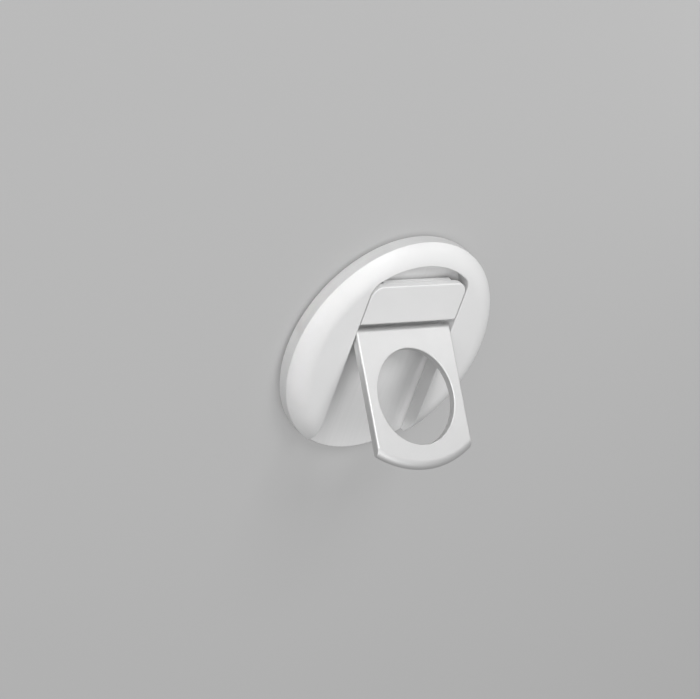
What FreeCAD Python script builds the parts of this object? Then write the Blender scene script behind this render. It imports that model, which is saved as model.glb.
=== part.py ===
"""Round magnetic phone mount with a fold-out kickstand and a flip-out hook for a laptop lid.

Millimetres. The mount lies on its soft phone face: the origin is the centre of that face,
+Z points out of the domed front and +Y points to the hook end. The kickstand is open as in use.
"""
import FreeCAD, Part
import math
import os

V = FreeCAD.Vector
X_AXIS = V(1, 0, 0)
Z_AXIS = V(0, 0, 1)

# Disc and its layers, from the phone face upwards
disc_diameter = 63.0
pad_thickness = 0.65
pad_inset = 2.0
pad_edge_round = 0.25
tape_thickness = 0.15
tape_inset = 0.5
cover_thickness = 0.5
cover_clearance = 0.1
magnet_thickness = 0.6
magnet_width = 4.0
magnet_count = 16
magnet_spacing = 0.4
magnet_clearance = 0.2
magnet_rib_width = 0.8
magnet_rib_height = 0.45
shield_thickness = 0.2
shield_overhang = 0.08
shield_clearance = 0.05

# Housing
floor_thickness = 0.7
channel_depth = 4.25
crown_drop = 3.0
crown_run = 6.0
rim_wall = 1.6
rim_edge_round = 0.35
roof_thickness = 0.8
cheek_width = 15.5
channel_wall = 1.2
channel_edge_round = 0.3
floor_edge_round = 0.3
arch_margin = 5.5
shoulder_radius = 4.5

# Hinges, shared by the kickstand and the hook
hinge_side_gap = 0.35
pin_diameter = 1.0
pin_grip = 3.2
pin_press_clearance = 0.01
pin_run_clearance = 0.05
pin_wall_clearance = 0.2
bush_wall = 0.3

# Kickstand
kickstand_angle = 45.7
kickstand_thickness = 1.9
heel_floor_gap = 1.0
heel_step = 0.5
heel_blend = 2.6
heel_corner_radius = 0.8
hinge_groove = 2.46
finger_hole_heel_margin = 4.84
finger_hole_end_margin = 4.12
finger_hole_round = 0.3
finger_hole_chamfer = 0.15
kickstand_end_gap = 1.08
kickstand_nose_round = 2.2
kickstand_tip_round = 0.4
kickstand_edge_round = 0.5

# Hook plate
hook_height = 11.3
hook_thickness = 2.0
hook_lip_thickness = 1.6
hook_lip_side_margin = 4.45
hook_lip_floor_gap = 1.1
hook_floor_gap = 0.55
hook_corner_radius = 3.4
hook_edge_round = 0.3
hook_heel_round = 0.8
finger_notch = 5.4
hook_pad_thickness = 0.5
hook_pad_margin = 0.25
hook_pad_side_margin = 3.6

# Hinge blocks and screws
block_width = 3.0
block_end_margin = 2.2
block_gap = 0.05
block_roof_gap = 0.15
block_cap = 0.2
flange_width = 3.6
flange_thickness = 1.0
block_boss_diameter = 2.6
block_boss_offset = 1.95
block_screw_end = 1.5
block_screw_diameter = 1.2
block_screw_head_diameter = 2.4
block_screw_head_height = 0.7
screw_hole_clearance = 0.05
screw_skin = 0.8
screw_stack_gap = 0.15
flange_hole_clearance = 0.15
cover_screw_inset = 1.6
cover_screw_diameter = 1.0
cover_screw_head_diameter = 1.9
cover_screw_length = 3.6
cover_screw_countersink = 0.42
cover_screw_angles = (45.0, 135.0, 225.0, 315.0)
cover_boss_diameter = 2.2

# Heights and radii that follow
disc_radius = disc_diameter / 2
back_z = pad_thickness + tape_thickness
cover_top = back_z + cover_thickness
magnet_top = cover_top + magnet_thickness
shield_top = magnet_top + shield_thickness
floor_under = shield_top + shield_clearance
floor_z = floor_under + floor_thickness
face_z = floor_z + channel_depth
roof_z = face_z - roof_thickness
wall_top = face_z - crown_drop
crown_radius = (crown_run ** 2 + crown_drop ** 2) / (2 * crown_drop)
crown_start = disc_radius - crown_run
cavity_radius = disc_radius - rim_wall
channel_half = disc_radius - cheek_width
arch_radius = disc_radius - arch_margin
moving_half = channel_half - hinge_side_gap
bush_diameter = pin_diameter + 2 * (pin_run_clearance + bush_wall)
hinge_depth = roof_thickness + block_roof_gap + block_cap + bush_diameter / 2
hinge_z = face_z - hinge_depth
hook_heel = channel_depth - hinge_depth - hook_floor_gap
heel_radius = channel_depth - hinge_depth - heel_floor_gap
hook_top = arch_radius - finger_notch
hook_bottom = hook_top - hook_height
hook_pivot_y = hook_bottom + hook_heel
kickstand_pivot_y = hook_bottom - hinge_groove - heel_radius
finger_hole_top = kickstand_pivot_y - finger_hole_heel_margin
kickstand_end = disc_radius - kickstand_end_gap
nose_start = kickstand_end - kickstand_nose_round
finger_hole_bottom = finger_hole_end_margin - nose_start
finger_hole_diameter = finger_hole_top - finger_hole_bottom
finger_hole_y = (finger_hole_top + finger_hole_bottom) / 2
block_inner_x = channel_half + channel_wall + block_gap
block_outer_x = block_inner_x + block_width
block_base_z = shield_top + block_screw_head_height + screw_stack_gap
flange_top = block_base_z + flange_thickness
block_screw_x = block_outer_x + block_boss_offset
block_y_min = kickstand_pivot_y - block_end_margin
block_y_max = hook_pivot_y + block_end_margin
block_screw_ys = (block_y_min + block_screw_end, block_y_max - block_screw_end)
pin_inner_x = moving_half - pin_grip
cover_screw_circle = cavity_radius - cover_screw_inset
magnet_outer = cover_screw_circle - cover_boss_diameter / 2 - magnet_clearance
magnet_inner = magnet_outer - magnet_width
pad_radius = disc_radius - pad_inset
beyond = disc_diameter


def cylinder(radius, z0, z1, x=0.0, y=0.0):
    """Upright cylinder between two heights."""
    return Part.makeCylinder(radius, z1 - z0, V(x, y, z0))


def cross_cylinder(radius, x0, x1, y, z):
    """Cylinder along X between two X positions."""
    return Part.makeCylinder(radius, x1 - x0, V(x0, y, z), X_AXIS)


def block(x0, x1, y0, y1, z0, z1):
    """Box between two corners."""
    return Part.makeBox(x1 - x0, y1 - y0, z1 - z0, V(x0, y0, z0))


def ring(inner, outer, z0, z1):
    """Flat ring between two radii and two heights."""
    return cylinder(outer, z0, z1).cut(cylinder(inner, z0, z1))


def revolve(edges):
    """Solid of revolution about Z from the edges of a closed profile in the XZ plane."""
    return Part.Face(Part.Wire(edges)).revolve(V(0, 0, 0), Z_AXIS, 360)


def polyline(points):
    """Straight edges through points, left open."""
    return [Part.makeLine(a, b) for a, b in zip(points, points[1:])]


def arc(centre, radius, start_deg, end_deg, place):
    """Arc whose points are placed by a function of two in-plane coordinates."""
    def at(angle):
        turn = math.radians(angle)
        return place(centre[0] + radius * math.cos(turn), centre[1] + radius * math.sin(turn))
    return Part.Arc(at(start_deg), at((start_deg + end_deg) / 2), at(end_deg)).toShape()


def in_profile(r, z):
    """Point of a profile that is revolved."""
    return V(r, 0, z)


def in_plan(x, y):
    """Point of a plan outline."""
    return V(x, y, 0)


def in_section(y, z):
    """Point of a section across the hinges."""
    return V(0, y, z)


def edges_where(shape, test):
    """Edges of a shape whose middle point and length pass a test."""
    found = []
    for edge in shape.Edges:
        middle = edge.valueAt((edge.FirstParameter + edge.LastParameter) / 2)
        if test(middle, edge.Length):
            found.append(edge)
    return found


def both_sides(name, right):
    """A right-hand shape and its mirror image on the left, each with its node name."""
    return {name + "_right": right, name + "_left": right.mirror(V(0, 0, 0), X_AXIS)}


def dome():
    """Outer form of the disc: upright wall, crease and crowned edge up to the flat face."""
    rise = math.degrees(math.atan2(wall_top - face_z + crown_radius, crown_run))
    edges = polyline([
        in_profile(crown_start, face_z), in_profile(0, face_z), in_profile(0, back_z),
        in_profile(disc_radius - rim_edge_round, back_z)])
    edges.append(arc((disc_radius - rim_edge_round, back_z + rim_edge_round), rim_edge_round,
                     -90, 0, in_profile))
    edges += polyline([in_profile(disc_radius, back_z + rim_edge_round),
                       in_profile(disc_radius, wall_top)])
    edges.append(arc((crown_start, face_z - crown_radius), crown_radius, rise, 90, in_profile))
    return revolve(edges)


def inner_dome():
    """Space inside the disc, one wall in from the dome."""
    inner_crown = crown_radius - roof_thickness
    centre_z = face_z - crown_radius
    reach = cavity_radius - crown_start
    wall_end = centre_z + math.sqrt(inner_crown ** 2 - reach ** 2)
    start = math.degrees(math.atan2(wall_end - centre_z, reach))
    edges = polyline([
        in_profile(crown_start, roof_z), in_profile(0, roof_z), in_profile(0, back_z),
        in_profile(cavity_radius, back_z), in_profile(cavity_radius, wall_end)])
    edges.append(arc((crown_start, centre_z), inner_crown, start, 90, in_profile))
    return revolve(edges)


def channel(grow, z0, z1):
    """Prism of the channel: straight sides, arched top with round shoulders, open at the rim."""
    half = channel_half + grow
    arch = arch_radius + grow
    shoulder = shoulder_radius + grow
    centre_x = half - shoulder
    centre_y = math.sqrt((arch - shoulder) ** 2 - centre_x ** 2)
    turn = math.degrees(math.atan2(centre_y, centre_x))
    edges = polyline([in_plan(-half, centre_y), in_plan(-half, -beyond),
                      in_plan(half, -beyond), in_plan(half, centre_y)])
    edges.append(arc((centre_x, centre_y), shoulder, 0, turn, in_plan))
    edges.append(arc((0, 0), arch, turn, 180 - turn, in_plan))
    edges.append(arc((-centre_x, centre_y), shoulder, 180 - turn, 180, in_plan))
    prism = Part.Face(Part.Wire(edges)).extrude(V(0, 0, z1 - z0))
    prism.translate(V(0, 0, z0))
    return prism


def cover_screw_places():
    """Centres of the back cover's screws."""
    return [(cover_screw_circle * math.cos(math.radians(a)),
             cover_screw_circle * math.sin(math.radians(a))) for a in cover_screw_angles]


def front_housing():
    """Moulded shell with its channel, hollow cheeks, screw bosses and pin holes."""
    body = dome().cut(channel(0, floor_z, face_z + beyond))
    body = body.makeFillet(channel_edge_round, edges_where(
        body, lambda p, length: abs(p.z - face_z) < crown_drop / 6 and (
            abs(abs(p.x) - channel_half) < 1e-6 or p.y > arch_radius - shoulder_radius)
        and math.hypot(p.x, p.y) < arch_radius + 1e-6))
    body = body.makeFillet(floor_edge_round, edges_where(
        body, lambda p, length: abs(p.z - floor_z) < 1e-6
        and abs(math.hypot(p.x, p.y) - disc_radius) < 1e-6))
    hollow = inner_dome().cut(channel(channel_wall, floor_under, face_z))
    shell = body.cut(hollow)
    bosses = []
    holes = []
    for x, y in cover_screw_places():
        angle = math.degrees(math.atan2(y, x))
        web = block(0, cover_screw_inset + rim_wall / 2, -cover_boss_diameter / 2,
                    cover_boss_diameter / 2, cover_top, roof_z)
        web.rotate(V(0, 0, 0), Z_AXIS, angle)
        web.translate(V(x, y, 0))
        bosses.append(cylinder(cover_boss_diameter / 2, cover_top, face_z, x, y).fuse(web))
        holes.append(cylinder(cover_screw_diameter / 2 + screw_hole_clearance, back_z,
                              cover_top + cover_screw_length, x, y))
    for side in (-1, 1):
        for y in block_screw_ys:
            x = side * block_screw_x
            bosses.append(cylinder(block_boss_diameter / 2, flange_top, face_z, x, y))
            holes.append(cylinder(block_screw_diameter / 2 + screw_hole_clearance, flange_top,
                                  face_z - screw_skin, x, y))
    hole_radius = pin_diameter / 2 + pin_wall_clearance
    for y in (kickstand_pivot_y, hook_pivot_y):
        holes.append(cross_cylinder(hole_radius, -block_inner_x, block_inner_x, y, hinge_z))
    inner_bosses = Part.makeCompound(bosses).common(inner_dome().fuse(shell))
    return shell.fuse(inner_bosses).removeSplitter().cut(Part.makeCompound(holes))


def back_cover():
    """Plate that closes the back, with a rib that centres the magnets."""
    plate = cylinder(cavity_radius - cover_clearance, back_z, cover_top)
    rib_outer = magnet_inner - magnet_clearance
    plate = plate.fuse(ring(rib_outer - magnet_rib_width, rib_outer, cover_top,
                            cover_top + magnet_rib_height)).removeSplitter()
    for x, y in cover_screw_places():
        plate = plate.cut(cylinder(cover_screw_diameter / 2 + screw_hole_clearance,
                                   back_z, cover_top, x, y))
        plate = plate.cut(cylinder(cover_screw_head_diameter / 2 + screw_hole_clearance, back_z,
                                   back_z + cover_screw_countersink, x, y))
    return plate


def face_pad():
    """Soft disc that lies on the phone."""
    pad = cylinder(pad_radius, 0, pad_thickness)
    lower = edges_where(pad, lambda p, length: abs(p.z) < 1e-6)
    return pad.makeFillet(pad_edge_round, lower)


def pad_tape():
    """Double-sided tape between the pad and the back cover."""
    return cylinder(pad_radius - tape_inset, pad_thickness, back_z)


def magnet_ring():
    """Arc magnets side by side in a ring."""
    step = 360.0 / magnet_count
    gap_angle = math.degrees(magnet_spacing / magnet_inner)
    sector = Part.makeCylinder(magnet_outer, magnet_thickness, V(0, 0, cover_top), Z_AXIS,
                               step - gap_angle)
    magnet = sector.cut(cylinder(magnet_inner, cover_top, magnet_top))
    magnets = []
    for index in range(magnet_count):
        copy = magnet.copy()
        copy.rotate(V(0, 0, 0), Z_AXIS, index * step + gap_angle / 2)
        magnets.append(copy)
    return Part.makeCompound(magnets)


def magnet_shield():
    """Steel ring over the magnets that closes their field."""
    return ring(magnet_inner - shield_overhang, magnet_outer + shield_overhang, magnet_top, shield_top)


def nose():
    """Form of the kickstand's free end: an arc inside the rim whose front edge is rolled over."""
    centre_z = face_z - kickstand_nose_round
    edges = polyline([
        in_profile(nose_start, face_z), in_profile(0, face_z), in_profile(0, 0),
        in_profile(kickstand_end, 0), in_profile(kickstand_end, centre_z)])
    edges.append(arc((nose_start, centre_z), kickstand_nose_round, 0, 90, in_profile))
    return revolve(edges)


def finger_hole(z0, z1):
    """Through hole of the kickstand's finger ring."""
    return cylinder(finger_hole_diameter / 2, z0, z1, 0, finger_hole_y)


def closed_kickstand():
    """Kickstand leg lying flush in the channel."""
    under = face_z - kickstand_thickness
    heel_round = hinge_depth - heel_step
    heel_y = kickstand_pivot_y + heel_radius
    edges = polyline([
        in_section(kickstand_pivot_y, hinge_z - heel_radius),
        in_section(kickstand_pivot_y - heel_blend, under), in_section(-beyond, under),
        in_section(-beyond, face_z), in_section(heel_y - heel_round, face_z)])
    edges.append(arc((heel_y - heel_round, face_z - heel_round), heel_round, 90, 0, in_section))
    edges += polyline([in_section(heel_y, face_z - heel_round), in_section(heel_y, hinge_z)])
    edges.append(arc((kickstand_pivot_y, hinge_z), heel_radius, 0, -90, in_section))
    leg = Part.Face(Part.Wire(edges)).extrude(V(2 * moving_half, 0, 0))
    leg.translate(V(-moving_half, 0, 0))
    plan = block(-moving_half, moving_half, -beyond, heel_y, 0, face_z)
    plan = plan.makeFillet(heel_corner_radius, edges_where(
        plan, lambda p, length: abs(p.y - heel_y) < 1e-6 and abs(abs(p.x) - moving_half) < 1e-6))
    plan = plan.makeFillet(kickstand_edge_round, edges_where(
        plan, lambda p, length: abs(p.z - face_z) < 1e-6 and abs(abs(p.x) - moving_half) < 1e-6))
    leg = leg.common(plan).common(nose()).cut(finger_hole(0, face_z))
    front_rim = edges_where(leg, lambda p, length: abs(p.z - face_z) < 1e-6
                            and length > finger_hole_diameter * 3)
    leg = leg.makeFillet(finger_hole_round, front_rim)
    back_rim = edges_where(leg, lambda p, length: abs(p.z - under) < 1e-6
                           and length > finger_hole_diameter * 3)
    leg = leg.makeChamfer(finger_hole_chamfer, back_rim)
    tip = edges_where(leg, lambda p, length: abs(p.z - under) < 1e-6 and p.y < -nose_start)
    leg = leg.makeFillet(kickstand_tip_round, tip)
    bores = Part.makeCompound([
        cross_cylinder(pin_diameter / 2 + pin_press_clearance, pin_inner_x, beyond,
                       kickstand_pivot_y, hinge_z),
        cross_cylinder(pin_diameter / 2 + pin_press_clearance, -beyond, -pin_inner_x,
                       kickstand_pivot_y, hinge_z)])
    return leg.cut(bores)


def opened(shape):
    """Shape turned about the kickstand's hinge from closed to its angle in use."""
    shape.rotate(V(0, kickstand_pivot_y, hinge_z), X_AXIS, -kickstand_angle)
    return shape


def hinge_pin(y):
    """Right-hand stub pin of one hinge, from inside the moving piece to the outer block face."""
    return cross_cylinder(pin_diameter / 2, pin_inner_x, block_outer_x, y, hinge_z)


def hinge_bush(y):
    """Right-hand bush in which the pin of one hinge turns."""
    bore = cross_cylinder(pin_diameter / 2 + pin_run_clearance, block_inner_x, block_outer_x, y, hinge_z)
    return cross_cylinder(bush_diameter / 2, block_inner_x, block_outer_x, y, hinge_z).cut(bore)


def hook_plate():
    """Flap with a round hinge edge and, along its free edge, the lip that goes over a lid."""
    inner = face_z - hook_thickness
    lip_half = moving_half - hook_lip_side_margin
    heel_end = math.degrees(math.asin((inner - hinge_z) / hook_heel))
    edges = polyline([
        in_section(hook_pivot_y + hook_heel * math.cos(math.radians(heel_end)), inner),
        in_section(hook_top, inner), in_section(hook_top, face_z),
        in_section(hook_bottom + hook_heel_round, face_z)])
    edges.append(arc((hook_bottom + hook_heel_round, face_z - hook_heel_round), hook_heel_round,
                     90, 180, in_section))
    edges += polyline([in_section(hook_bottom, face_z - hook_heel_round),
                       in_section(hook_bottom, hinge_z)])
    edges.append(arc((hook_pivot_y, hinge_z), hook_heel, 180, 360 + heel_end, in_section))
    flap = Part.Face(Part.Wire(edges)).extrude(V(2 * moving_half, 0, 0))
    flap.translate(V(-moving_half, 0, 0))
    plan = block(-moving_half, moving_half, hook_bottom, hook_top, floor_z, face_z)
    plan = plan.makeFillet(hook_corner_radius, edges_where(
        plan, lambda p, length: abs(p.y - hook_top) < 1e-6 and abs(abs(p.x) - moving_half) < 1e-6))
    flap = flap.common(plan)
    outer = edges_where(flap, lambda p, length: abs(abs(p.x) - moving_half) < 1e-6
                        or (abs(p.z - face_z) < 1e-6 and p.y > hook_pivot_y))
    flap = flap.makeFillet(hook_edge_round, outer)
    lip = block(-lip_half, lip_half, hook_top - hook_lip_thickness, hook_top,
                floor_z + hook_lip_floor_gap, inner)
    flap = flap.fuse(lip).removeSplitter()
    bores = Part.makeCompound([
        cross_cylinder(pin_diameter / 2 + pin_press_clearance, pin_inner_x, beyond,
                       hook_pivot_y, hinge_z),
        cross_cylinder(pin_diameter / 2 + pin_press_clearance, -beyond, -pin_inner_x,
                       hook_pivot_y, hinge_z)])
    return flap.cut(bores)


def hook_pad():
    """Soft strip on the hook's inner face that rests on the lid's edge."""
    top = face_z - hook_thickness
    half = moving_half - hook_pad_side_margin
    return block(-half, half, hook_pivot_y + hook_heel + hook_pad_margin,
                 hook_top - hook_lip_thickness - hook_pad_margin, top - hook_pad_thickness, top)


def hinge_block():
    """Right-hand block that carries a bush of each hinge, with its screw flange."""
    body = block(block_inner_x, block_outer_x, block_y_min, block_y_max, block_base_z,
                 roof_z - block_roof_gap)
    flange = block(block_outer_x, block_outer_x + flange_width, block_y_min, block_y_max,
                   block_base_z, flange_top)
    body = body.fuse(flange).removeSplitter()
    for y in (kickstand_pivot_y, hook_pivot_y):
        body = body.cut(cross_cylinder(bush_diameter / 2 + pin_press_clearance, block_inner_x,
                                       block_outer_x, y, hinge_z))
    for y in block_screw_ys:
        body = body.cut(cylinder(block_screw_diameter / 2 + flange_hole_clearance, block_base_z,
                                 flange_top, block_screw_x, y))
    return body


def block_screws():
    """Screws that hold the hinge blocks up against their bosses."""
    head_z = block_base_z - block_screw_head_height
    screws = []
    for side in (-1, 1):
        for y in block_screw_ys:
            x = side * block_screw_x
            head = cylinder(block_screw_head_diameter / 2, head_z, block_base_z, x, y)
            shank = cylinder(block_screw_diameter / 2, block_base_z,
                             face_z - screw_skin - screw_stack_gap, x, y)
            screws.append(head.fuse(shank))
    return Part.makeCompound(screws)


def cover_screws():
    """Small screws through the back cover into the rim bosses."""
    screws = []
    for x, y in cover_screw_places():
        head = cylinder(cover_screw_head_diameter / 2, back_z, back_z + cover_screw_countersink, x, y)
        shank = cylinder(cover_screw_diameter / 2, back_z,
                         cover_top + cover_screw_length - screw_stack_gap, x, y)
        screws.append(head.fuse(shank))
    return Part.makeCompound(screws)


def nodes():
    """Every node of the mount with its shape."""
    shapes = {
        "front_housing": front_housing(),
        "back_cover": back_cover(),
        "face_pad": face_pad(),
        "pad_tape": pad_tape(),
        "magnet_ring": magnet_ring(),
        "magnet_shield": magnet_shield(),
        "kickstand": opened(closed_kickstand()),
        "hook_plate": hook_plate(),
        "hook_pad": hook_pad(),
        "block_screws": block_screws(),
        "cover_screws": cover_screws(),
    }
    shapes.update(both_sides("hinge_block", hinge_block()))
    for hinge, y in (("kickstand", kickstand_pivot_y), ("hook", hook_pivot_y)):
        shapes.update(both_sides(hinge + "_pin", hinge_pin(y)))
        shapes.update(both_sides(hinge + "_bush", hinge_bush(y)))
    return shapes


def main():
    """Write one STEP file for each node."""
    os.makedirs("parts", exist_ok=True)
    for name, shape in nodes().items():
        shape.exportStep("parts/" + name + ".step")
        print(name, len(shape.Solids), round(shape.Volume, 3), shape.isValid())


main()
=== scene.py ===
"""Looks of a round magnetic phone mount with a fold-out kickstand and a flip-out hook.

Metres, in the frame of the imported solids: the mount lies on its soft face, +Z points out of the
domed front and +Y along the channel to the hook plate. Every rigid solid keeps its shape and gets
its finish here. The two soft pads are modelled here, and so are the studio and the camera.
"""
import logging
import math
from dataclasses import dataclass
from enum import Enum
from typing import Dict, Mapping, Optional, Sequence, Tuple, Union

import bmesh
import bpy
from mathutils import Matrix, Quaternion, Vector


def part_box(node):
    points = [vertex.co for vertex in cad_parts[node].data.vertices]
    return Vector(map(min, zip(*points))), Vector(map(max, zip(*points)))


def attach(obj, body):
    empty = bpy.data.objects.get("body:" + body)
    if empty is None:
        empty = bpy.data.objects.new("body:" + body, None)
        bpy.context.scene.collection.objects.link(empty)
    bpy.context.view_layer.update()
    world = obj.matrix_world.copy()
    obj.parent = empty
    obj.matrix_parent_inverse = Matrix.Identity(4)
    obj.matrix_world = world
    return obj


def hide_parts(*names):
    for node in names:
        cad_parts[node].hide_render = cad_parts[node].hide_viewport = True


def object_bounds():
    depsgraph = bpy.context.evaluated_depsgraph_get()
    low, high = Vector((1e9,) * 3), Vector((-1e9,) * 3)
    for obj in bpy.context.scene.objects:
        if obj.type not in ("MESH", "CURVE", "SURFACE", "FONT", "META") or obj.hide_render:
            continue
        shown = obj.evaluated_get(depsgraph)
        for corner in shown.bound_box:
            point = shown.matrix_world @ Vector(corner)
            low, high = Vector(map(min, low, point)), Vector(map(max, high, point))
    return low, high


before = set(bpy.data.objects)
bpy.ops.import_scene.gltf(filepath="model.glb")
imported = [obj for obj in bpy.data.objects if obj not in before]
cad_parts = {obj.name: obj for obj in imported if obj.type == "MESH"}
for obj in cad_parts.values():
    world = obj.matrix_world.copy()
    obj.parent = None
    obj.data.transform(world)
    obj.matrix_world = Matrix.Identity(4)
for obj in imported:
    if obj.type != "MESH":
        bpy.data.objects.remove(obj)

CAD_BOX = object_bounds()
LOG = logging.getLogger("phone_mount")

MM = 0.001
# How near two heights are that count as one, and how near the rim a point on it is.
SAME_HEIGHT = 1e-7
ON_RIM = 1e-6
# Places of the colour sockets of a Mix node, whose names repeat.
MIX_A, MIX_B, MIX_RESULT = 6, 7, 2

Colour = Tuple[float, float, float]
Point = Tuple[float, float, float]


class Shade:
    """One output socket of a node tree, with arithmetic that adds Math nodes."""

    def __init__(self, sheet: "NodeSheet", socket: Optional[bpy.types.NodeSocket]) -> None:
        """Keep the sheet and its output socket, which is None for a node that ends its tree."""
        self.sheet = sheet
        self.socket = socket

    def sibling(self, name: str) -> "Shade":
        """Another output of the same node."""
        return Shade(self.sheet, self.socket.node.outputs[name])

    def math(self, operation: str, *others: "Value") -> "Shade":
        """A Math node with this value as its first input."""
        return self.sheet.calculate(operation, self, *others)

    def limited(self) -> "Shade":
        """This value held between 0 and 1."""
        return self.math("MINIMUM", 1.0).math("MAXIMUM", 0.0)

    def __add__(self, other: "Value") -> "Shade":
        """Sum."""
        return self.math("ADD", other)

    def __radd__(self, other: "Value") -> "Shade":
        """Sum with a number on the left."""
        return self.math("ADD", other)

    def __sub__(self, other: "Value") -> "Shade":
        """Difference."""
        return self.math("SUBTRACT", other)

    def __rsub__(self, other: "Value") -> "Shade":
        """Difference from a number."""
        return self.sheet.calculate("SUBTRACT", other, self)

    def __mul__(self, other: "Value") -> "Shade":
        """Product."""
        return self.math("MULTIPLY", other)

    def __rmul__(self, other: "Value") -> "Shade":
        """Product with a number on the left."""
        return self.math("MULTIPLY", other)

    def __truediv__(self, other: "Value") -> "Shade":
        """Quotient."""
        return self.math("DIVIDE", other)

    def __rtruediv__(self, other: "Value") -> "Shade":
        """A number divided by this value."""
        return self.sheet.calculate("DIVIDE", other, self)


Value = Union[Shade, float, Sequence[float]]


class NodeSheet:
    """A node tree, with a single method that makes its nodes."""

    def __init__(self, tree: bpy.types.NodeTree) -> None:
        """Take a tree and clear it."""
        self.tree = tree
        self.tree.nodes.clear()

    def make(self, kind: str, settings: Optional[Mapping[str, object]] = None,
             inputs: Optional[Mapping[Union[str, int], Value]] = None,
             output: Union[str, int] = 0) -> Shade:
        """Add one node, set it up and feed its sockets.

        Args:
            kind: The node's type, without the ShaderNode prefix.
            settings: The node's own settings.
            inputs: Values or links of its sockets, by name or place.
            output: The output to hand back.

        Returns:
            The chosen output, which is empty for a node that ends its tree.
        """
        node = self.tree.nodes.new("ShaderNode" + kind)
        for key, setting in (settings or {}).items():
            setattr(node, key, setting)
        for key, value in (inputs or {}).items():
            socket = node.inputs[key]
            if isinstance(value, Shade):
                self.tree.links.new(value.socket, socket)
            else:
                socket.default_value = value
        return Shade(self, node.outputs[output] if node.outputs else None)

    def calculate(self, operation: str, *values: Value) -> Shade:
        """A Math node on values in order."""
        return self.make("Math", {"operation": operation}, dict(enumerate(values)))


class FinishSheet(NodeSheet):
    """Node tree of one material."""

    def __init__(self, name: str) -> None:
        """Start an empty material.

        Args:
            name: Name of the material.
        """
        self.material = bpy.data.materials.new(name)
        self.material.use_nodes = True
        super().__init__(self.material.node_tree)

    def place(self) -> Shade:
        """Object coordinates, in metres."""
        return self.make("TexCoord", output="Object")

    def height(self) -> Shade:
        """Height above the soft face, in metres."""
        return self.make("SeparateXYZ", inputs={"Vector": self.place()}, output="Z")

    def noise(self, size: float, detail: float, stretch: Point = (1.0, 1.0, 1.0)) -> Shade:
        """Noise between about 0 and 1.

        Args:
            size: Size of its features, in metres.
            detail: Octaves of finer noise.
            stretch: How much longer the features are along each axis.

        Returns:
            The noise value.
        """
        scale = tuple(1.0 / part for part in stretch)
        where = self.make("Mapping", inputs={"Vector": self.place(), "Scale": scale})
        return self.make("TexNoise", output="Fac",
                         inputs={"Vector": where, "Scale": 1.0 / size, "Detail": detail})

    def band(self, value: Shade, centre: float, half: float, soft: float) -> Shade:
        """A mask that is 1 within half a width of a centre and fades over a soft edge."""
        away = (value - centre).math("ABSOLUTE")
        return ((half + soft - away) / soft).limited()

    def blend(self, low: Value, high: Value, factor: Shade) -> Shade:
        """A colour between two others, each given with its alpha or as a link."""
        return self.make("Mix", {"data_type": "RGBA"},
                         {"Factor": factor, MIX_A: low, MIX_B: high}, MIX_RESULT)

    def tint(self, low: Colour, high: Colour, factor: Shade) -> Shade:
        """A colour between two plain colours."""
        return self.blend((*low, 1.0), (*high, 1.0), factor)

    def bump(self, height: Shade, depth: float) -> Shade:
        """A normal from a height between 0 and 1, where 1 stands for a depth in metres."""
        return self.make("Bump", inputs={"Height": height, "Distance": depth, "Strength": 1.0})

    def finish(self, shader: Shade) -> bpy.types.Material:
        """Put a shader on the surface and hand back the material."""
        self.make("OutputMaterial", inputs={"Surface": shader})
        return self.material

    def surface(self, inputs: Mapping[str, Value]) -> bpy.types.Material:
        """Finish the material with one Principled shader of these values and links."""
        return self.finish(self.make("BsdfPrincipled", inputs=inputs))


@dataclass(frozen=True)
class MouldedPlastic:
    """Satin moulded plastic with a spark-eroded grain, faint flow marks and handling sheen."""

    name: str
    colour: Colour
    cloud: float = 0.02
    grain_size: float = 0.2 * MM
    grain_depth: float = 0.012 * MM
    roughness: float = 0.42
    sheen_patch: float = 0.06
    patch_size: float = 9.0 * MM
    specular: float = 0.45

    def shades(self) -> Tuple[Colour, Colour]:
        """The darkest and the lightest colour of the moulding.

        Returns:
            The two colours.
        """
        low = tuple(part * (1.0 - self.cloud) for part in self.colour)
        high = tuple(min(part * (1.0 + self.cloud), 1.0) for part in self.colour)
        return low, high

    def colouring(self, sheet: FinishSheet, patches: Shade) -> Shade:
        """The moulding's colour, clouded by its flow marks."""
        low, high = self.shades()
        return sheet.tint(low, high, patches)

    def build(self) -> bpy.types.Material:
        """Make the material.

        Returns:
            The material.
        """
        sheet = FinishSheet(self.name)
        patches = sheet.noise(self.patch_size, detail=3.0)
        grain = sheet.noise(self.grain_size, detail=2.0)
        return sheet.surface({
            "Base Color": self.colouring(sheet, patches),
            "Roughness": self.roughness - self.sheen_patch / 2 + self.sheen_patch * patches,
            "Specular IOR Level": self.specular,
            "Normal": sheet.bump(grain, self.grain_depth),
        })


@dataclass(frozen=True)
class ChannelledPlastic(MouldedPlastic):
    """The housing's plastic, with drawn streaks along the floor of its channel."""

    floor_z: float = 2.85 * MM
    floor_half: float = 0.05 * MM
    streak_width: float = 0.9 * MM
    streak_length: float = 14.0
    streak_fade: float = 0.07

    def colouring(self, sheet: FinishSheet, patches: Shade) -> Shade:
        """The moulding's colour, streaked on the channel's floor.

        Args:
            sheet: The material's sheet.
            patches: The flow marks.

        Returns:
            The colour.
        """
        streaks = sheet.noise(self.streak_width, detail=3.0, stretch=(1.0, self.streak_length, 1.0))
        worn = tuple(part * (1.0 - self.streak_fade) for part in self.colour)
        drawn = sheet.tint(worn, self.shades()[1], streaks)
        on_floor = sheet.band(sheet.height(), self.floor_z, self.floor_half, self.floor_half)
        return sheet.blend(super().colouring(sheet, patches), drawn, on_floor)


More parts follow.
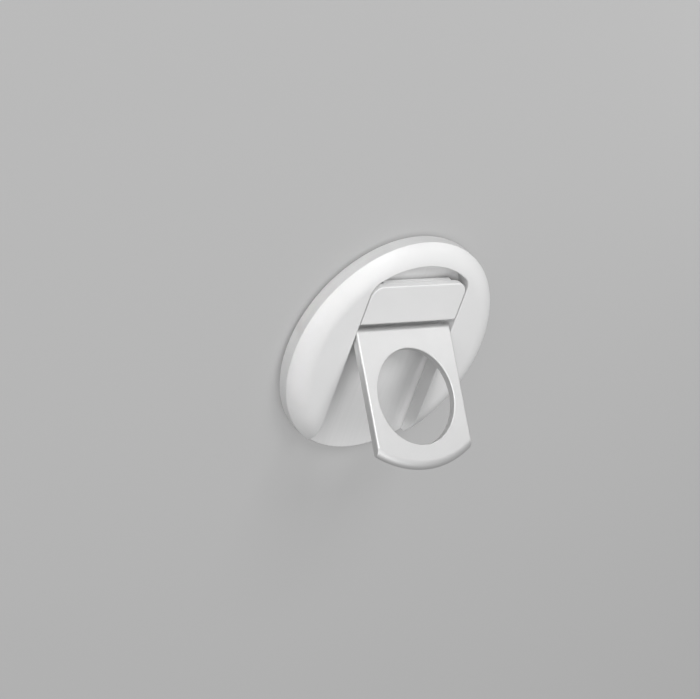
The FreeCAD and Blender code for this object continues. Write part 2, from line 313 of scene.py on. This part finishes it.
@dataclass(frozen=True)
class SoftRubber:
    """Matte silicone with a fine stipple and paler rubbed patches."""

    name: str
    colour: Colour
    rubbed: Colour
    stipple_size: float = 0.28 * MM
    stipple_depth: float = 0.02 * MM
    patch_size: float = 12.0 * MM
    roughness: float = 0.72
    patch_roughness: float = 0.12
    specular: float = 0.3

    def build(self) -> bpy.types.Material:
        """Make the material.

        Returns:
            The material.
        """
        sheet = FinishSheet(self.name)
        patches = sheet.noise(self.patch_size, detail=4.0)
        dots = {"Vector": sheet.place(), "Scale": 1.0 / self.stipple_size}
        stipple = sheet.make("TexVoronoi", {"feature": "F1"}, dots, "Distance")
        return sheet.surface({
            "Base Color": sheet.tint(self.colour, self.rubbed, patches),
            "Roughness": self.roughness + self.patch_roughness * patches,
            "Specular IOR Level": self.specular,
            "Normal": sheet.bump(1.0 - stipple, self.stipple_depth),
        })


@dataclass(frozen=True)
class DrawnMetal:
    """Bare metal with fine tool marks along one axis and a little tarnish."""

    name: str
    colour: Colour
    tarnish: Colour
    grain: Point = (1.0, 1.0, 1.0)
    mark_size: float = 0.05 * MM
    mark_depth: float = 0.002 * MM
    patch_size: float = 3.0 * MM
    roughness: float = 0.3
    mark_roughness: float = 0.15

    def build(self) -> bpy.types.Material:
        """Make the material.

        Returns:
            The material.
        """
        sheet = FinishSheet(self.name)
        marks = sheet.noise(self.mark_size, detail=3.0, stretch=self.grain)
        patches = sheet.noise(self.patch_size, detail=4.0)
        return sheet.surface({
            "Base Color": sheet.tint(self.colour, self.tarnish, patches * marks),
            "Metallic": 1.0,
            "Roughness": self.roughness + self.mark_roughness * marks,
            "Normal": sheet.bump(marks, self.mark_depth),
        })


@dataclass(frozen=True)
class BlastedAlloy:
    """Pale alloy, blasted to an even satin, with a fine pitted grain and handling marks."""

    name: str
    colour: Colour
    handled: Colour
    metal: float = 0.78
    grain_size: float = 0.15 * MM
    grain_depth: float = 0.009 * MM
    patch_size: float = 6.0 * MM
    roughness: float = 0.52
    rub: float = 0.06

    def build(self) -> bpy.types.Material:
        """Make the material.

        Returns:
            The material.
        """
        sheet = FinishSheet(self.name)
        patches = sheet.noise(self.patch_size, detail=4.0)
        grain = sheet.noise(self.grain_size, detail=2.0)
        return sheet.surface({
            "Base Color": sheet.tint(self.colour, self.handled, patches),
            "Metallic": self.metal,
            "Roughness": self.roughness - self.rub / 2 + self.rub * patches,
            "Normal": sheet.bump(grain, self.grain_depth),
        })


@dataclass(frozen=True)
class StudioPaper:
    """Floor paper, pale to the camera and in reflections, that throws little light on the mount."""

    name: str = "studio_paper"
    seen: Colour = (0.5, 0.5, 0.5)
    bounce: Colour = (0.1, 0.1, 0.1)
    evenness: float = 0.55
    fibre_size: float = 0.5 * MM
    fibre_depth: float = 0.01 * MM
    roughness: float = 0.85
    fibre_roughness: float = 0.1
    specular: float = 0.1

    def build(self) -> bpy.types.Material:
        """Make the material, part lit paper with shadows and part even glow.

        Returns:
            The material.
        """
        sheet = FinishSheet(self.name)
        fibres = sheet.noise(self.fibre_size, detail=3.0)
        camera_ray = sheet.make("LightPath", output="Is Camera Ray")
        in_view = (camera_ray + camera_ray.sibling("Is Glossy Ray")
                   + camera_ray.sibling("Is Transmission Ray")).limited()
        paper = sheet.make("BsdfPrincipled", inputs={
            "Base Color": sheet.tint(self.bounce, self.seen, in_view),
            "Roughness": self.roughness + self.fibre_roughness * fibres,
            "Specular IOR Level": self.specular,
            "Normal": sheet.bump(fibres, self.fibre_depth),
        })
        glow = sheet.make("Emission", inputs={"Color": (*self.seen, 1.0), "Strength": 1.0})
        even = {0: in_view * self.evenness, 1: paper, 2: glow}
        return sheet.finish(sheet.make("MixShader", inputs=even))


class Finish(Enum):
    """Every finish of the mount."""

    HOUSING = ChannelledPlastic("housing_white", (0.8, 0.8, 0.8))
    PLATE = MouldedPlastic("plate_white", (0.8, 0.8, 0.8))
    LEG = BlastedAlloy("leg_pale_alloy", (0.72, 0.72, 0.72), (0.67, 0.67, 0.67))
    COVER = MouldedPlastic("cover_grey", (0.12, 0.12, 0.125), cloud=0.08, roughness=0.5)
    SOFT = SoftRubber("soft_face_grey", (0.03, 0.03, 0.032), (0.05, 0.05, 0.052))
    TAPE = SoftRubber("tape_black", (0.012, 0.012, 0.012), (0.02, 0.02, 0.02), roughness=0.6)
    NICKEL = DrawnMetal("magnet_nickel", (0.62, 0.6, 0.56), (0.42, 0.4, 0.37))
    STEEL = DrawnMetal("screw_steel", (0.56, 0.56, 0.57), (0.36, 0.36, 0.37),
                       grain=(20.0, 1.0, 1.0))
    BRONZE = DrawnMetal("bush_bronze", (0.55, 0.4, 0.2), (0.33, 0.23, 0.12),
                        grain=(20.0, 1.0, 1.0))
    ALLOY = DrawnMetal("block_alloy", (0.5, 0.5, 0.52), (0.36, 0.36, 0.38),
                       mark_size=0.2 * MM, roughness=0.48)


def add_object(name: str, data: bpy.types.ID) -> bpy.types.Object:
    """Put a new object into the scene.

    Args:
        name: Name of the object.
        data: Its mesh, lamp or camera.

    Returns:
        The object.
    """
    made = bpy.data.objects.new(name, data)
    bpy.context.scene.collection.objects.link(made)
    return made


def add_mesh(name: str, mesh: bmesh.types.BMesh) -> bpy.types.Object:
    """Put a mesh into the scene as an object.

    Args:
        name: Name of the object.
        mesh: Its mesh, which is freed.

    Returns:
        The object.
    """
    data = bpy.data.meshes.new(name)
    mesh.to_mesh(data)
    mesh.free()
    return add_object(name, data)


def round_edges(mesh: bmesh.types.BMesh, edges: Sequence[bmesh.types.BMEdge], size: float,
                steps: int) -> None:
    """Round some edges of a mesh by a size, in a number of steps."""
    bmesh.ops.bevel(mesh, geom=edges, offset=size, offset_type="OFFSET", affect="EDGES",
                    segments=steps, profile=0.5, material=-1)


def facing(at: Point, aim: Point) -> Quaternion:
    """The turn of a lamp or camera that looks from one point at another."""
    return (Vector(aim) - Vector(at)).to_track_quat("-Z", "Y")


class Workshop:
    """Keeps one material for each finish, and dresses nodes and pieces with them."""

    soft_slot: str = "pad_rubber"
    sharp_angle: float = 40.0

    def __init__(self) -> None:
        """Start with no materials made."""
        self.made: Dict[Finish, bpy.types.Material] = {}

    def material(self, finish: Finish) -> bpy.types.Material:
        """The material of a finish, made once.

        Args:
            finish: The finish.

        Returns:
            Its material.
        """
        if finish not in self.made:
            self.made[finish] = finish.value.build()
        return self.made[finish]

    def dress(self, piece: bpy.types.Object, finish: Finish) -> None:
        """Give an object one finish all over.

        Args:
            piece: The object.
            finish: The finish.
        """
        piece.data.materials.clear()
        piece.data.materials.append(self.material(finish))
        LOG.info("%s: %s", piece.name, finish.value.name)

    def dress_nodes(self, finish: Finish, *names: str) -> None:
        """Give CAD nodes a finish, by their names."""
        for name in names:
            self.dress(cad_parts[name], finish)

    def piece(self, name: str, mesh: bmesh.types.BMesh, finish: Finish, body: str,
              node: str) -> bpy.types.Object:
        """Make a soft piece of a mesh that stands for a CAD node.

        Args:
            name: Name of the piece.
            mesh: Its mesh, which is freed.
            finish: Its finish.
            body: The body that it moves with.
            node: The node that it stands for.

        Returns:
            The piece.
        """
        bmesh.ops.recalc_face_normals(mesh, faces=mesh.faces[:])
        piece = add_mesh(name, mesh)
        piece.data.shade_smooth()
        piece.data.set_sharp_from_angle(angle=math.radians(self.sharp_angle))
        self.dress(piece, finish)
        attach(piece, body)
        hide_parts(node)
        return piece


@dataclass
class Disc:
    """The round body: housing, back cover, magnets, hinge blocks and the soft face under it."""

    shop: Workshop
    soft_segments: int = 192
    soft_round: float = 0.25 * MM
    soft_round_steps: int = 5
    soft_top_round: float = 0.08 * MM
    soft_top_steps: int = 2
    ring_groove_width: float = 0.3 * MM
    ring_groove_slope: float = 0.1 * MM
    ring_groove_depth: float = 0.08 * MM
    ring_groove_insets: Tuple[float, float] = (2.2 * MM, 4.6 * MM)

    def dress(self) -> None:
        """Finish the rigid nodes of the disc."""
        self.shop.dress_nodes(Finish.HOUSING, "front_housing")
        self.shop.dress_nodes(Finish.COVER, "back_cover")
        self.shop.dress_nodes(Finish.TAPE, "pad_tape")
        self.shop.dress_nodes(Finish.NICKEL, "magnet_ring")
        self.shop.dress_nodes(Finish.STEEL, "magnet_shield", "block_screws", "cover_screws")
        for side in ("right", "left"):
            self.shop.dress_nodes(Finish.ALLOY, "hinge_block_" + side)
            self.shop.dress_nodes(Finish.BRONZE, "kickstand_bush_" + side, "hook_bush_" + side)

    def build_soft_face(self) -> bpy.types.Object:
        """Soft disc with a rounded rim and two shallow rings pressed into its face.

        Returns:
            The piece.
        """
        low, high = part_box("face_pad")
        mesh = bmesh.new()
        bmesh.ops.create_circle(mesh, cap_ends=True, radius=high.x, segments=self.soft_segments)
        bmesh.ops.translate(mesh, verts=mesh.verts[:], vec=(0.0, 0.0, low.z))
        grown = bmesh.ops.extrude_face_region(mesh, geom=mesh.faces[:])
        raised = [part for part in grown["geom"] if isinstance(part, bmesh.types.BMVert)]
        bmesh.ops.translate(mesh, verts=raised, vec=(0.0, 0.0, high.z - low.z))
        caps = [face for face in mesh.faces if len(face.verts) == self.soft_segments]
        lower = min(caps, key=lambda face: face.calc_center_median().z)
        self._press_rings(mesh, lower)
        self._round_rims(mesh, high.x, low.z, high.z)
        return self.shop.piece("soft_face", mesh, Finish.SOFT, "disc", "face_pad")

    def _press_rings(self, mesh: bmesh.types.BMesh, face: bmesh.types.BMFace) -> None:
        """Press ring grooves into a round face.

        Args:
            mesh: The mesh.
            face: The face, which ends up inside the inner ring.
        """
        inset_so_far = 0.0
        for inset in self.ring_groove_insets:
            bmesh.ops.inset_region(mesh, faces=[face], thickness=inset - inset_so_far)
            ring = bmesh.ops.inset_region(mesh, faces=[face], thickness=self.ring_groove_width)
            floor = list(ring["faces"])
            bmesh.ops.inset_region(mesh, faces=floor, thickness=self.ring_groove_slope)
            sunk = {vert for part in floor for vert in part.verts}
            bmesh.ops.translate(mesh, verts=list(sunk), vec=(0.0, 0.0, self.ring_groove_depth))
            inset_so_far = inset + self.ring_groove_width

    def _round_rims(self, mesh: bmesh.types.BMesh, radius: float, low: float, high: float) -> None:
        """Round the lower and the upper rim.

        Args:
            mesh: The mesh.
            radius: Radius of the rim.
            low: Height of the lower rim.
            high: Height of the upper rim.
        """
        for height, size, steps in ((low, self.soft_round, self.soft_round_steps),
                                    (high, self.soft_top_round, self.soft_top_steps)):
            rim = [edge for edge in mesh.edges
                   if all(abs(vert.co.z - height) < SAME_HEIGHT
                          and vert.co.xy.length > radius - ON_RIM for vert in edge.verts)]
            round_edges(mesh, rim, size, steps)


@dataclass
class Kickstand:
    """The leg with its finger hole, and its stub pins."""

    shop: Workshop

    def dress(self) -> None:
        """Finish the leg and its pins."""
        self.shop.dress_nodes(Finish.LEG, "kickstand")
        self.shop.dress_nodes(Finish.STEEL, "kickstand_pin_right", "kickstand_pin_left")


@dataclass
class Hook:
    """The hook plate, its stub pins and the soft strip behind it."""

    shop: Workshop
    strip_corner: float = 1.2 * MM
    strip_corner_steps: int = 8
    strip_round: float = 0.14 * MM
    strip_round_steps: int = 4

    def dress(self) -> None:
        """Finish the plate and its pins."""
        self.shop.dress_nodes(Finish.PLATE, "hook_plate")
        self.shop.dress_nodes(Finish.STEEL, "hook_pin_right", "hook_pin_left")

    def build_strip(self) -> bpy.types.Object:
        """Soft strip with round corners and softened edges.

        Returns:
            The piece.
        """
        low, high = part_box("hook_pad")
        mesh = bmesh.new()
        place = Matrix.Translation((low + high) / 2) @ Matrix.Diagonal((*(high - low), 1.0))
        bmesh.ops.create_cube(mesh, size=1.0, matrix=place)
        upright = [edge for edge in mesh.edges
                   if abs(edge.verts[0].co.z - edge.verts[1].co.z) > SAME_HEIGHT]
        round_edges(mesh, upright, self.strip_corner, self.strip_corner_steps)
        rims = [edge for edge in mesh.edges
                if all(abs(vert.co.z - low.z) < SAME_HEIGHT for vert in edge.verts)]
        round_edges(mesh, rims, self.strip_round, self.strip_round_steps)
        return self.shop.piece("hook_soft_strip", mesh, Finish.SOFT, "hook", "hook_pad")


@dataclass(frozen=True)
class Softbox:
    """One square or oblong studio lamp, aimed at a point.

    Its power is in watts and its spread in degrees.
    """

    name: str
    at: Point
    width: float
    height: float
    power: float
    aim: Point = (0.0, 0.0, 0.0)
    spread: float = 180.0

    def build(self) -> None:
        """Make the lamp."""
        data = bpy.data.lights.new(self.name, "AREA")
        data.shape = "RECTANGLE"
        data.size = self.width
        data.size_y = self.height
        data.energy = self.power
        data.spread = math.radians(self.spread)
        lamp = add_object(self.name, data)
        lamp.location = self.at
        lamp.rotation_euler = facing(self.at, self.aim).to_euler()
        lamp.visible_camera = False
        LOG.info("lamp %s: %.4f W", self.name, self.power)


@dataclass
class Studio:
    """Plain pale floor, softboxes and a surround that is brighter on one side."""

    floor_size: float = 4.0
    floor_drop: float = 0.02 * MM
    paper: StudioPaper = StudioPaper()
    surround_strength: float = 0.175
    surround_slope: float = 1.0
    surround_axis: Point = (-1.0, 0.0, 0.0)
    surround_mirrored: float = 0.3
    lamps: Tuple[Softbox, ...] = (
        Softbox("key_over_hook_end", (0.0, 0.56, 0.42), width=0.3, height=0.3, power=2.45),
        Softbox("overhead", (0.0, 0.07, 0.696), width=0.4, height=0.4, power=1.35),
        Softbox("camera_side", (-0.421, 0.351, 0.435), width=0.8, height=0.8, power=1.75),
        Softbox("leg_gleam", (0.16, 0.14, 0.06), width=0.08, height=0.08, power=0.055),
        Softbox("low_left_strip", (-0.15, -0.01, 0.003), width=0.14, height=0.005, power=0.0015,
                aim=(0.0, 0.0, 0.003), spread=10.0),
    )

    def build(self) -> None:
        """Make the floor, the lamps and the surround."""
        self._build_floor()
        for lamp in self.lamps:
            lamp.build()
        self._light_surround()

    def _build_floor(self) -> None:
        """Lay the floor just under the soft face."""
        mesh = bmesh.new()
        bmesh.ops.create_grid(mesh, x_segments=2, y_segments=2, size=self.floor_size / 2)
        bmesh.ops.translate(mesh, verts=mesh.verts[:],
                            vec=(0.0, 0.0, CAD_BOX[0].z - self.floor_drop))
        floor = add_mesh("studio_floor", mesh)
        floor.data.materials.append(self.paper.build())

    def _light_surround(self) -> None:
        """Light the mount from all round, more from the left cheek's side than from the right.

        Reflections show the surround at one even level.
        """
        world = bpy.data.worlds.new("studio_surround")
        world.use_nodes = True
        sheet = NodeSheet(world.node_tree)
        direction = sheet.make("TexCoord", output="Generated")
        toward = sheet.make("VectorMath", {"operation": "DOT_PRODUCT"},
                            {0: direction, 1: self.surround_axis}, output="Value")
        level = self.surround_strength * (1.0 + self.surround_slope * toward)
        glossy_ray = sheet.make("LightPath", output="Is Glossy Ray")
        glow = sheet.make("Background", inputs={
            "Strength": level + glossy_ray * (self.surround_mirrored - level)})
        sheet.make("OutputWorld", inputs={"Surface": glow})
        bpy.context.scene.world = world
        bpy.context.scene.view_settings.view_transform = "Standard"


@dataclass(frozen=True)
class ViewCamera:
    """The camera at the photograph's place: above the left cheek, turned so that +Y is up.

    Its roll is in degrees, its lens and film are in millimetres.
    """

    at: Point = (-469.37 * MM, 321.91 * MM, 457.04 * MM)
    aim: Point = (-6.217 * MM, -4.664 * MM, -2.949 * MM)
    roll: float = 134.26
    lens: float = 146.61
    film_width: float = 36.0
    nearest: float = 10.0 * MM

    def build(self) -> None:
        """Make the camera and look through it."""
        data = bpy.data.cameras.new("view_camera")
        data.sensor_fit = "HORIZONTAL"
        data.sensor_width = self.film_width
        data.lens = self.lens
        data.clip_start = self.nearest
        camera = add_object("view_camera", data)
        turn = facing(self.at, self.aim) @ Quaternion((0.0, 0.0, 1.0), math.radians(self.roll))
        camera.matrix_world = Matrix.LocRotScale(Vector(self.at), turn, None)
        bpy.context.scene.camera = camera


def main() -> None:
    """Dress the mount, then set up the studio and the camera."""
    logging.basicConfig(level=logging.INFO, format="%(name)s %(message)s")
    shop = Workshop()
    disc = Disc(shop)
    disc.dress()
    disc.build_soft_face()
    Kickstand(shop).dress()
    hook = Hook(shop)
    hook.dress()
    hook.build_strip()
    Studio().build()
    ViewCamera().build()


if __name__ == "__main__":
    main()
